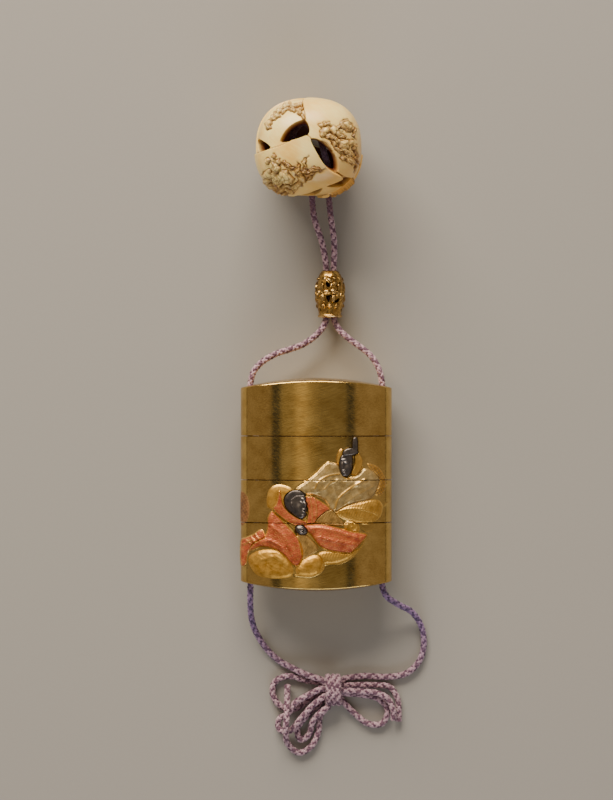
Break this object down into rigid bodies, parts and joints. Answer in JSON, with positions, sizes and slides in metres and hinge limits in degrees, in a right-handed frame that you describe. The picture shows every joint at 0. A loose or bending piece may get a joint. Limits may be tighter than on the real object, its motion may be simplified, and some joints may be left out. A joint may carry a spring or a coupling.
{
  "type": "inro with netsuke and ojime",
  "caption": "Tiered lacquer case with a lid, inlaid relief front, pierced bead and ball toggle on a tied silk cord, lying on its back",
  "frame": {"origin": "middle of the small flat on the back of the middle case, which the inro lies on", "axes": "+Z up out of the decorated front, +Y along the cord from the inro towards the netsuke, +X to the right seen from above with +Y up"},
  "size_m": [0.0768, 0.2694, 0.0423],
  "materials": {
    "gold_lacquer": "gold ground lacquer, polished, with raised red, grey and gold lacquer relief on the front",
    "dark_alloy": "dark patinated copper alloy, satin",
    "ivory": "polished ivory, stained brown in the carving",
    "bronze": "gilt bronze, worn bright on the high parts",
    "silk": "braided silk, lilac with dark plum flecks"
  },
  "bodies": {
    "root": {"lid": "gold_lacquer", "case_1": "gold_lacquer", "case_2": "gold_lacquer", "case_3": "gold_lacquer", "inlay_head_upper": "dark_alloy", "inlay_head_lower": "dark_alloy", "inlay_hand": "dark_alloy", "netsuke": "ivory", "ojime": "bronze", "cord_upper": "silk", "cord_lower_left": "silk", "cord_lower_right": "silk", "bow_loop_left": "silk", "bow_loop_lower_left": "silk", "bow_tail_left": "silk", "bow_loop_inner": "silk", "bow_loop_right": "silk", "bow_tail_right": "silk", "bow_knot": "silk", "bow_tail_inner_right": "silk"}
  },
  "joints": []
}
